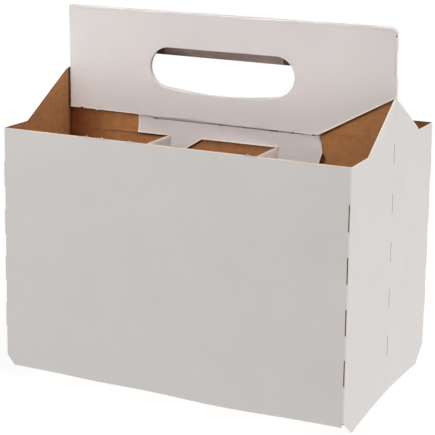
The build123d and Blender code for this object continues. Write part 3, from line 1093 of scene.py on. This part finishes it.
def ply_trim(scene):
    """The front ply's trim: as round the hand hole, with hinges, and a kraft lip along the windows' tops.

    The lip, painted dark as shade, is wide left of the first strap, down the slanted cut and, growing
    downwards, below the tip. The hinge edges are painted grey-brown as shade.
    """
    body, part, straps = scene.carrier_body, scene.carrier_partition, scene.carrier_straps
    window_top = window_level(scene)
    first = straps.first + body.fold - body.board
    second = first + straps.pitch
    slope_end = straps.first + straps.pitch - straps.flat_top
    round_hole = hole_trim(scene)

    def trim(points):
        x, below = points[:, 0], window_top - points[:, 2]
        at_hinge = (np.minimum(np.abs(x - first), np.abs(x - second)) < HINGE_REACH) & (below > HINGE_REACH)
        wide = (x < first) | ((x < slope_end) & (below > HINGE_REACH))
        lip = np.where(wide, WIDE_SHADE_LIP, SHADE_LIP) * (below > -WELD)
        tip = (below < part.ply_notch + WELD) * np.clip(3 * below / part.ply_notch, 0, 1)
        lip = np.where(at_hinge, 0, np.where(x > second, TIP_SHADE_LIP * tip, lip))
        # Hinge edges are painted grey-brown as shade
        crush, finish, burr, _ = eased(at_hinge, round_hole(points), FOOT_CRUSH, PAINTED_GREY_SHADE)
        return crush, finish, burr, lip

    return trim


def lip_finish(scene, across, pushed):
    """The finish of the front ply's cells: grey-brown painted shade on the lip, and dark painted shade at
    its two ends.
    """
    handle = scene.carrier_handle
    end = np.abs(across[:-1, :-1] - handle.hole_centre) > handle.hole_half_span + LIP_SHADE
    return np.where(pushed[:-1, :-1] > 0, np.where(end, SHADE, PAINTED_GREY_SHADE), PRINTED)


def ply_forward(scene, hinges, across, up):
    """How far the front ply stands forward of the partition.

    It springs out in the last few millimetres above the windows, from nothing at the strap hinges, and its
    free right edge curls forward more the nearer it is to the tip.
    """
    part, window_top = scene.carrier_partition, window_level(scene)
    low = faded(up - window_top, FLARE_RISE)
    away = np.minimum(np.abs(across - hinges[0]), np.abs(across - hinges[1]))
    flare = low * np.clip(away / FLARE_RUN, 0, 1) * (across < hinges[1])
    free = hinges[1] + CURL_START
    curl = np.clip((across - free) / (part.ply_right - free), 0, 1) ** 2
    curl *= np.clip((window_top + FLARE_RUN - up) / FLARE_RISE, 0, 1)
    return PLY_FLARE * flare + PLY_CURL * curl


def scored(scene, across, up):
    """1 at the points of the scored line just under the handle, 0 elsewhere."""
    body, part = scene.carrier_body, scene.carrier_partition
    level = (up - panel_top(body)) / part.ply_band + 1
    start, end = SCORE_SPAN
    in_line = (level > PLY_ROWS[5] + 0.01) & (level < PLY_ROWS[8] - 0.01)
    return (in_line & (across > start * MM - WELD) & (across < end * MM + WELD)).astype(float)


def spotted(scene, across, up):
    """Which cells are the spots along the scored line, painted dark as shade."""
    body, part = scene.carrier_body, scene.carrier_partition
    level = (up[:-1, :-1] - panel_top(body)) / part.ply_band + 1
    middle = (across[:-1, :-1] + across[1:, 1:]) / 2
    near = np.min([np.abs(middle - place * MM) for place in SCORE_SPOTS], axis=0) < SPOT_WIDTH
    return near & (level > PLY_ROWS[5] - 0.001) & (level < PLY_ROWS[8] - 0.001)


def front_ply_patches(scene):
    """The ply that hangs in front of the partition, with the windows that the front straps leave."""
    body, part, straps = scene.carrier_body, scene.carrier_partition, scene.carrier_straps
    board = body.board
    top, window_top = panel_top(body), window_level(scene)
    hinge = body.fold - board
    first, second = straps.first + hinge, straps.first + straps.pitch + hinge
    slope_end = straps.first + straps.pitch - straps.flat_top
    shoulder = part.ply_shoulder
    hole = hole_columns(scene.carrier_handle)
    marks = [place * MM + SPOT_WIDTH * np.array([-1, 1]) for place in SCORE_SPOTS]
    hinge_ends = [first, second, slope_end, *(end * MM for end in SCORE_SPAN)]
    before, after = spaced(part.ply_left, hole[0], STEP), spaced(hole[-1], shoulder, STEP)
    columns = snapped(np.concatenate([before, hole, after, hinge_ends, *marks]))
    crest = handle_top(scene) - CREST_FOLDS * body.fold

    def shape(across, up, above):
        pushed = lip_pushed(scene, across, up, above)
        forward = ply_forward(scene, (first, second), across, up)
        groove = scored(scene, across, up)
        finish = lip_finish(scene, across, pushed)
        line = least_of_cells(groove) > 0
        # The scored line is painted grey-brown and its spots dark, as shade
        finish = np.where(spotted(scene, across, up), SHADE, np.where(line, PAINTED_GREY_SHADE, finish))
        return *upright(across, up, -board - PLY_GAP + pushed - forward + SCORE_DEPTH * groove, -1), finish

    patches = holed_patches(scene, columns, top, crest, scene.carrier_handle.lip_drop, shape)

    def add(columns, low, high, rows):
        patches.append(shape(*flat_grid(columns, low, high, rows), False))

    bottom, notch = window_top - straps.height, window_top - part.ply_notch
    tip = np.linspace(shoulder, part.ply_right, 4)
    right = columns[columns > second - WELD / 2]
    neck = columns[(columns > first - WELD / 2) & (columns < slope_end + WELD / 2)]
    neck_low = [nest_level(straps, window_top, straps.pitch), window_top]
    add(columns, window_top, top, PLY_ROWS)
    add(tip, window_top, np.interp(tip, [shoulder, part.ply_right], [top, window_top]), PLY_ROWS)
    add(right, notch, window_top, FEW_ROWS)
    add(right, bottom, notch, STRAP_ROWS)
    add(tip, np.interp(tip, [shoulder, part.ply_right], [notch, window_top]), window_top, FEW_ROWS)
    add(neck, np.interp(neck, [first, slope_end], neck_low), window_top, PLY_ROWS)
    return patches


def ridged(across, up):
    """The height of a faint crease across the partition's left end: a bell over a nearly level line."""
    (start, start_level), (end, end_level) = RIDGE_LINE
    line = start_level + (end_level - start_level) * (across / MM - start) / (end - start)
    along = np.clip((across / MM - start) / 2, 0, 1) * np.clip((end - across / MM) / 2, 0, 1)
    return RIDGE_HEIGHT * along * np.exp(-(((up - line * MM) / RIDGE_WIDTH) ** 2))


def partition_patches(scene):
    """The long ply, kraft to the front: windows below, a hand hole above, a fold at the left."""
    body, part, straps = scene.carrier_body, scene.carrier_partition, scene.carrier_straps
    board, fold = body.board, body.fold
    left = -body.foot_length / 2 + fold
    right = apex(body) - part.end_gap - board
    bottom = body.fold_level + 2 * board + part.floor_gap
    join = panel_top(body) + body.board
    window_top = window_level(scene) - straps.back_drop
    window_low = window_top - straps.height
    hinge = fold - board
    window_left = straps.first - hinge
    column_left = straps.first + straps.flat_top
    column_right = straps.first + straps.pitch - hinge
    hole = hole_columns(scene.carrier_handle)
    places = [spaced(left, hole[0], STEP), hole, spaced(hole[-1], right, STEP)]
    columns = snapped(np.concatenate([*places, [window_left, column_left, column_right]]))
    crest = handle_top(scene) - CREST_FOLDS * fold
    apex_level = panel_top(body) + body.gable_rise

    def shape(across, up, above):
        near_right = faded(right - across, LEAN_REACH)
        lean = PARTITION_LEAN * np.clip((up - apex_level) / (crest - apex_level), 0, 1)
        y = board - PLY_GAP + lip_pushed(scene, across, up, above) - ridged(across, up)
        return upright(across - near_right * lean, up, y, 1)

    holed = holed_patches(scene, columns, join, crest, scene.carrier_handle.lip_drop, shape)
    band = np.unique(np.append(BAND_ROWS, (RIDGE_LEVELS - window_top) / (join - window_top)))
    patches = list(holed)

    def add(columns, low, high, rows):
        patches.append(shape(*flat_grid(columns, low, high, rows), False))

    post = columns[(columns > column_left - WELD / 2) & (columns < column_right + WELD / 2)]
    post_low = [window_top, nest_level(straps, window_top, straps.pitch)]
    add(columns, window_top, join, band)
    add(columns[columns < window_left + WELD / 2], window_low, window_top, UPPER_ROWS)
    add(columns, bottom, window_low, LOWER_ROWS)
    add(post, np.interp(post, [column_left, column_right], post_low), window_top, band)

    levels = joined(
        bottom + (window_low - bottom) * LOWER_ROWS,
        window_low + (window_top - window_low) * UPPER_ROWS,
        window_top + (join - window_top) * band,
        holed[0][0][0, :, 2],
    )
    levels = levels[levels < apex_level + WELD]
    path, outward = arc((left, board - fold), fold, 180, 90)
    path[-1, 1] = board - PLY_GAP
    return patches + [along_path(path, outward, 0.0, 1.0, levels)]


def riser_patches(scene):
    """The back half of the left end, turned in and glued to the partition as a short riser."""
    body, part = scene.carrier_body, scene.carrier_partition
    board, fold = body.board, body.fold
    left = -body.foot_length / 2 + fold
    bottom = body.fold_level + 2 * board + part.floor_gap
    top = panel_top(body) - part.riser_below_top
    path, outward = arc((left, board + fold), fold, 180, 270)
    run = spaced(left, left + part.riser_width, STEP)[1:]
    flat = np.stack([run, np.full_like(run, board)], axis=-1)
    facing = np.concatenate([outward, np.tile([0.0, -1.0], (len(run), 1))])
    return [along_path(np.concatenate([path, flat]), facing, bottom, top, RISER_ROWS)]


# Straps

def strap_path(scene, hinge, side):
    """A strap in plan from its hinge to its tab's end: quarter turn, straight run, quarter turn, glue tab.

    side is -1 in the front row and 1 in the back row, and the tab points that way along X too. Gives points,
    the printed face's directions and the distance from the partition's ply.
    """
    body, straps = scene.carrier_body, scene.carrier_straps
    board, fold = body.board, body.fold
    inside = fold - board
    wall = body.width / 2 - board
    root, root_face = arc((inside, board + inside), inside, 270, 180)
    tip, tip_face = arc((-fold, wall - fold), fold, 0, 90)
    run = spaced(board + inside, wall - fold, STEP)[1:-1]
    straight = np.stack([np.zeros_like(run), run], axis=-1)
    tab = spaced(-fold, -board - straps.tab, STEP)[1:]
    tab_points = np.stack([tab, np.full_like(tab, wall)], axis=-1)
    points = np.concatenate([root, straight, tip, tab_points])
    facing = np.concatenate(
        [-root_face, np.tile([1.0, 0.0], (len(run), 1)), tip_face, np.tile([0.0, 1.0], (len(tab), 1))]
    )
    reach = np.concatenate([root[:, 1], run, tip[:, 1], wall - (tab + board)]) - board
    world = np.array([-side, side])
    return points * world + np.array([hinge, 0]), facing * world, np.maximum(reach, 0)


def strap_patches(scene, hinge, side, top, wide):
    """One cell strap. The wide one narrows towards its tab, and the other narrows towards its hinge."""
    body, straps = scene.carrier_body, scene.carrier_straps
    path, facing, reach = strap_path(scene, hinge, side)
    total = body.width / 2 - 2 * body.board + straps.tab
    bottom = top - straps.height
    if wide:
        high = np.minimum(top, nest_level(straps, top, reach))
        return [along_path(path, facing, bottom, high, STRAP_ROWS)]
    neck = total - straps.pitch
    low = np.where(reach > neck, bottom, nest_level(straps, top, straps.pitch + reach))
    return [along_path(path, facing, low, top, STRAP_ROWS)]


# Finishes

# Where painted shade deepens the kraft in the left corner and along the fold beside the handle, and where
# painted shade darkens the lip, in millimetres
PAINTED_CORNER_SHADE_ZONE = {"X": (-65.0, -91.0), "Y": (3.0, 1.0)}
PAINTED_LINE_SHADE_ZONE = {"X": (-94.3, -94.9), "Y": (4.4, 2.8), "Z": (134.0, 141.0)}
PAINTED_LIP_END_SHADE_ZONE = {"X": (-22.0, -38.0)}


def new_material(name):
    """An empty node material, or None where it is already there."""
    if name in bpy.data.materials:
        return None
    material = bpy.data.materials.new(name)
    material.use_nodes = True
    material.node_tree.nodes.clear()
    return material


def node(tree, kind, **inputs):
    """A node with some of its inputs set by name."""
    made = tree.nodes.new(kind)
    for key, value in inputs.items():
        made.inputs[key.replace("_", " ")].default_value = value
    return made


def noise(tree, coordinates, scale, detail, stretch=(1, 1, 1)):
    """Noise on the object's coordinates, drawn out along the axes with a small stretch."""
    mapping = node(tree, "ShaderNodeMapping", Scale=stretch)
    tree.links.new(coordinates, mapping.inputs["Vector"])
    made = node(tree, "ShaderNodeTexNoise", Scale=scale, Detail=detail, Roughness=0.6)
    tree.links.new(mapping.outputs["Vector"], made.inputs["Vector"])
    return made.outputs["Fac"]


def blended(tree, factor, low, high, first, second):
    """Two colours mixed by a noise that is spread between low and high."""
    ramp = tree.nodes.new("ShaderNodeValToRGB")
    ramp.color_ramp.elements[0].position = low
    ramp.color_ramp.elements[1].position = high
    ramp.color_ramp.elements[0].color = (*first, 1)
    ramp.color_ramp.elements[1].color = (*second, 1)
    tree.links.new(factor, ramp.inputs["Fac"])
    return ramp.outputs["Color"]


def math_node(tree, operation, *values):
    """One step of arithmetic on sockets."""
    made = tree.nodes.new("ShaderNodeMath")
    made.operation = operation
    for value, socket in zip(values, made.inputs):
        tree.links.new(value, socket)
    return made.outputs["Value"]


def mixed(tree, factor, base, other, amount):
    """base multiplied by other, as far as amount times factor says."""
    mix = tree.nodes.new("ShaderNodeMix")
    mix.data_type = "RGBA"
    mix.blend_type = "MULTIPLY"
    scale = tree.nodes.new("ShaderNodeMath")
    scale.operation = "MULTIPLY"
    scale.inputs[1].default_value = amount
    tree.links.new(factor, scale.inputs[0])
    tree.links.new(scale.outputs[0], mix.inputs["Factor"])
    tree.links.new(base, mix.inputs["A"])
    mix.inputs["B"].default_value = (*other, 1)
    return mix.outputs["Result"]


def finished(tree, base, height, roughness, specular, strength, distance):
    """The shader: base colour, roughness, and bump from a height."""
    shader = node(tree, "ShaderNodeBsdfPrincipled", Roughness=roughness)
    shader.inputs["Specular IOR Level"].default_value = specular
    bump = node(tree, "ShaderNodeBump", Strength=strength, Distance=distance)
    tree.links.new(height, bump.inputs["Height"])
    tree.links.new(base, shader.inputs["Base Color"])
    tree.links.new(bump.outputs["Normal"], shader.inputs["Normal"])
    output = tree.nodes.new("ShaderNodeOutputMaterial")
    tree.links.new(shader.outputs["BSDF"], output.inputs["Surface"])


def ranged(tree, value, start, end):
    """0 where the value is at start, rising to 1 at end."""
    made = node(tree, "ShaderNodeMapRange", From_Min=start, From_Max=end)
    tree.links.new(value, made.inputs["Value"])
    return made.outputs["Result"]


def in_zone(tree, place, zone):
    """1 inside a zone, 0 outside it. For each axis it gives where the zone starts and where it is full.

    Y is taken without its sign, so a zone lies on both sides of the handle's plane.
    """
    parts = tree.nodes.new("ShaderNodeSeparateXYZ")
    tree.links.new(place, parts.inputs["Vector"])
    factor = None
    for axis, (start, end) in zone.items():
        value = parts.outputs[axis]
        if axis == "Y":
            value = math_node(tree, "ABSOLUTE", value)
        step = ranged(tree, value, start * MM, end * MM)
        factor = step if factor is None else math_node(tree, "MULTIPLY", factor, step)
    return factor


def darker(tone, part):
    """A tone with only part of its light."""
    return tuple(part * value for value in tone)


def board_finish(name, grain, spread, tones, surface, stains=(), zones=()):
    """A finish of the board: two tones mixed by its grain, darkened by stains and by zones of painted shade,
    with a fine relief.

    grain and each stain's noise are the scale, the detail and the stretch of a noise. spread is how far the
    grain's values are drawn apart. surface is roughness, specular, and the relief's strength and depth, and
    whether the relief follows the grain or the first stain.
    """
    material = new_material(name)
    if not material:
        return bpy.data.materials[name]
    tree = material.node_tree
    place = tree.nodes.new("ShaderNodeTexCoord").outputs["Object"]
    mottle = noise(tree, place, *grain)
    base = blended(tree, mottle, *spread, *tones)
    spots = [noise(tree, place, *stain) for stain, _, _ in stains]
    for spot, (_, tone, amount) in zip(spots, stains):
        base = mixed(tree, spot, base, tone, amount)
    for zone, tone in zones:
        base = mixed(tree, in_zone(tree, place, zone), base, tone, 1.0)
    *gloss, depth, by_grain = surface
    finished(tree, base, mottle if by_grain else spots[0], *gloss, depth * MM)
    return material


def board_materials(finish):
    """The board's finishes, in the order of their numbers.

    The coating is a cloudy off-white with a faint relief of fibres and a soft satin sheen. The kraft is warm
    brown, mottled by clouds and fine specks, with painted shade in the left corner and along the fold beside
    the handle. The raw edge is a pale core in fine layers, the lip is painted grey-brown as shade, darker
    towards its left end, and the rims are painted dark as shade.
    """
    spread = (0.3, 0.7)
    return [
        board_finish(
            "white_coating", (38, 3), spread, (finish.white_shade, finish.white),
            (0.52, 0.35, 0.12, 0.05, False), [((900, 4, (1, 1, 0.45)), (0.93, 0.92, 0.91), 0.35)],
        ),
        board_finish(
            "kraft_face", (260, 5, (0.6, 0.8, 1)), (0.34, 0.66), (finish.kraft_dark, finish.kraft),
            (0.78, 0.2, 0.2, 0.06, True),
            [((1400, 3), (0.82, 0.76, 0.70), 0.5), ((45, 3), (0.84, 0.78, 0.72), 0.5)],
            [(PAINTED_CORNER_SHADE_ZONE, finish.painted_corner_shade), (PAINTED_LINE_SHADE_ZONE, finish.painted_line_shade)],
        ),
        board_finish(
            "raw_edge", (1800, 3), spread, (darker(finish.edge, 0.92), finish.edge),
            (0.85, 0.15, 0.2, 0.05, True),
        ),
        # Grey-brown painted shade, darker towards the lip's left end
        board_finish(
            "painted_grey_shade_finish", (120, 4), spread, (darker(finish.painted_grey_shade, 0.8), finish.painted_grey_shade),
            (0.8, 0.15, 0.2, 0.05, True), zones=[(PAINTED_LIP_END_SHADE_ZONE, finish.painted_lip_end_shade)],
        ),
        # Dark painted shade
        board_finish(
            "painted_dark_shade_finish", (300, 4), spread, (darker(finish.shade, 0.75), finish.shade),
            (0.7, 0.2, 0.2, 0.05, True),
        ),
    ]


# Stage

# The floor's half width, the lights and the camera's place, in metres and degrees
FLOOR_REACH = 9.0
KEY_WAY = (0.35, -0.05, 0.62)
KEY_ANGLE = 40
FILL_PLACE = (-0.035, -0.42, 0.56)
FILL_TARGET = (-0.035, 0, 0.152)
FILL_SIZE = (0.26, 0.05)
FILL_SPREAD = 11
FILL_COLOUR = (1.0, 0.94, 0.965)
SIDE_PLACE = (-0.30, -0.32, 0.38)
SIDE_SIZE = 0.2
SIDE_TARGET = (0, 0, 0.1)
CAMERA_PLACE = (0.29098, -0.66151, 0.26980)
CAMERA_SENSOR = 36.0


def add_floor(context):
    """A plain floor far larger than the view, softly lit from below as a photographer's table is."""
    mesh = bpy.data.meshes.new("studio_floor")
    corners = [(x * FLOOR_REACH, y * FLOOR_REACH, 0) for x, y in ((-1, -1), (1, -1), (1, 1), (-1, 1))]
    mesh.from_pydata(corners, [], [(0, 1, 2, 3)])
    material = new_material("studio_floor")
    tree = material.node_tree
    stage = context.scene.carrier_stage
    shader = node(tree, "ShaderNodeBsdfPrincipled", Roughness=0.9)
    shader.inputs["Base Color"].default_value = (*stage.floor_colour, 1)
    shader.inputs["Specular IOR Level"].default_value = 0.0
    shader.inputs["Emission Color"].default_value = (1, 1, 1, 1)
    shader.inputs["Emission Strength"].default_value = stage.floor_glow
    output = tree.nodes.new("ShaderNodeOutputMaterial")
    tree.links.new(shader.outputs["BSDF"], output.inputs["Surface"])
    mesh.materials.append(material)
    floor = bpy.data.objects.new("studio_floor", mesh)
    context.scene.collection.objects.link(floor)


def add_light(context, name, kind, energy, place, target, **settings):
    """Puts a light at a place, looking at a target."""
    light = bpy.data.lights.new(name, kind)
    light.energy = energy
    for key, value in settings.items():
        setattr(light, key, value)
    lamp = bpy.data.objects.new(name, light)
    away = Vector(place) - Vector(target)
    lamp.matrix_world = Matrix.Translation(place) @ away.to_track_quat("Z", "Y").to_matrix().to_4x4()
    lamp.visible_camera = False
    context.scene.collection.objects.link(lamp)


def add_lights(context):
    """A broad light from the right and above, a narrow soft box on the handle and a weak one at the left."""
    stage = context.scene.carrier_stage
    width, height = FILL_SIZE
    add_light(context, "key", "SUN", stage.key, KEY_WAY, (0, 0, 0), angle=math.radians(KEY_ANGLE))
    add_light(
        context, "fill", "AREA", stage.fill, FILL_PLACE, FILL_TARGET, shape="RECTANGLE",
        size=width, size_y=height, spread=math.radians(FILL_SPREAD), color=FILL_COLOUR,
    )
    add_light(context, "side", "AREA", stage.side, SIDE_PLACE, SIDE_TARGET, shape="SQUARE", size=SIDE_SIZE)


def add_sky(context):
    """Even white light from all round."""
    world = bpy.data.worlds.new("studio")
    world.use_nodes = True
    background = world.node_tree.nodes["Background"]
    background.inputs["Color"].default_value = (1, 1, 1, 1)
    background.inputs["Strength"].default_value = context.scene.carrier_stage.sky
    context.scene.world = world


def add_camera(context):
    """The camera at the photograph's place, turned by azimuth, elevation and roll."""
    stage = context.scene.carrier_stage
    data = bpy.data.cameras.new("view")
    data.sensor_fit = "HORIZONTAL"
    data.sensor_width = CAMERA_SENSOR
    data.lens = stage.lens
    data.clip_start = 0.01
    camera = bpy.data.objects.new("view", data)
    azimuth, elevation = math.radians(stage.azimuth), math.radians(stage.elevation)
    turn = Matrix.Rotation(azimuth, 4, "Z") @ Matrix.Rotation(math.pi / 2 - elevation, 4, "X")
    turn = turn @ Matrix.Rotation(math.radians(stage.roll), 4, "Z")
    camera.matrix_world = Matrix.Translation(CAMERA_PLACE) @ turn
    context.scene.collection.objects.link(camera)
    context.scene.camera = camera


# Operators

class CARRIER_OT_walls(bpy.types.Operator):
    """Adds the walls and the floor as one folded sheet, and the floor's glue lap"""

    bl_idname = "carrier.walls"
    bl_label = "Walls and Floor"

    def execute(self, context):
        body = context.scene.carrier_body
        patches = [wall_patch(body), floor_patch(body)]
        add_sheet(context, "walls_and_floor", patches, wall_trim(context.scene))
        add_sheet(context, "floor_lap", [lap_patch(body)])
        return {"FINISHED"}


class CARRIER_OT_handle(bpy.types.Operator):
    """Adds the handle's outer plies with their crest fold"""

    bl_idname = "carrier.handle"
    bl_label = "Handle"

    def execute(self, context):
        scene = context.scene
        add_sheet(context, "handle", handle_patches(scene), handle_trim(scene))
        return {"FINISHED"}


class CARRIER_OT_partition(bpy.types.Operator):
    """Adds the centre partition, its glued riser and the ply in front of it"""

    bl_idname = "carrier.partition"
    bl_label = "Partition"

    def execute(self, context):
        scene = context.scene
        add_sheet(context, "centre_partition", partition_patches(scene), hole_trim(scene))
        add_sheet(context, "seam_riser", riser_patches(scene))
        add_sheet(context, "front_ply", front_ply_patches(scene), ply_trim(scene))
        return {"FINISHED"}


class CARRIER_OT_straps(bpy.types.Operator):
    """Adds the two front and the two back cell straps"""

    bl_idname = "carrier.straps"
    bl_label = "Cell Straps"

    def execute(self, context):
        scene = context.scene
        straps, front_top = scene.carrier_straps, window_level(scene)
        second = straps.first + straps.pitch
        for name, hinge, side, top, wide in (
            ("strap_front_left", straps.first, -1, front_top, False),
            ("strap_front_right", second, -1, front_top, True),
            ("strap_back_left", straps.first, 1, front_top - straps.back_drop, True),
            ("strap_back_right", second, 1, front_top - straps.back_drop, False),
        ):
            add_sheet(context, name, strap_patches(scene, hinge, side, top, wide), strap_trim(scene))
        return {"FINISHED"}


class CARRIER_OT_stage(bpy.types.Operator):
    """Adds the plain floor, the soft light and the camera"""

    bl_idname = "carrier.stage"
    bl_label = "Stage"

    def execute(self, context):
        add_floor(context)
        add_sky(context)
        add_lights(context)
        add_camera(context)
        context.scene.view_settings.view_transform = "Standard"
        return {"FINISHED"}


class CARRIER_PT_panel(bpy.types.Panel):
    """Lists the carrier's pieces, its sizes and its stage"""

    bl_idname = "CARRIER_PT_panel"
    bl_label = "Carrier"
    bl_space_type = "VIEW_3D"
    bl_region_type = "UI"
    bl_category = "Carrier"

    def draw(self, context):
        for operator in OPERATORS:
            self.layout.operator(operator.bl_idname)
        for name in GROUPS:
            group = getattr(context.scene, name)
            column = self.layout.column()
            column.label(text=name)
            for key in group.bl_rna.properties.keys():
                if key not in ("rna_type", "name"):
                    column.prop(group, key, text=key.replace("_", " ").capitalize())


GROUPS = {
    "carrier_body": CarrierBody,
    "carrier_handle": CarrierHandle,
    "carrier_partition": CarrierPartition,
    "carrier_straps": CarrierStraps,
    "carrier_finish": CarrierFinish,
    "carrier_stage": CarrierStage,
}
OPERATORS = (
    CARRIER_OT_walls,
    CARRIER_OT_handle,
    CARRIER_OT_partition,
    CARRIER_OT_straps,
    CARRIER_OT_stage,
)


def register():
    """Registers the classes and hangs the property groups on the scene."""
    for cls in (*GROUPS.values(), *OPERATORS, CARRIER_PT_panel):
        bpy.utils.register_class(cls)
    for name, group in GROUPS.items():
        setattr(bpy.types.Scene, name, PointerProperty(type=group))


def unregister():
    """Takes the property groups and the classes away again."""
    for name in GROUPS:
        delattr(bpy.types.Scene, name)
    for cls in (CARRIER_PT_panel, *reversed(OPERATORS), *reversed(GROUPS.values())):
        bpy.utils.unregister_class(cls)


def main():
    """Builds the carrier and its stage."""
    register()
    bpy.ops.carrier.walls()
    bpy.ops.carrier.handle()
    bpy.ops.carrier.partition()
    bpy.ops.carrier.straps()
    bpy.ops.carrier.stage()


if __name__ == "__main__":
    main()
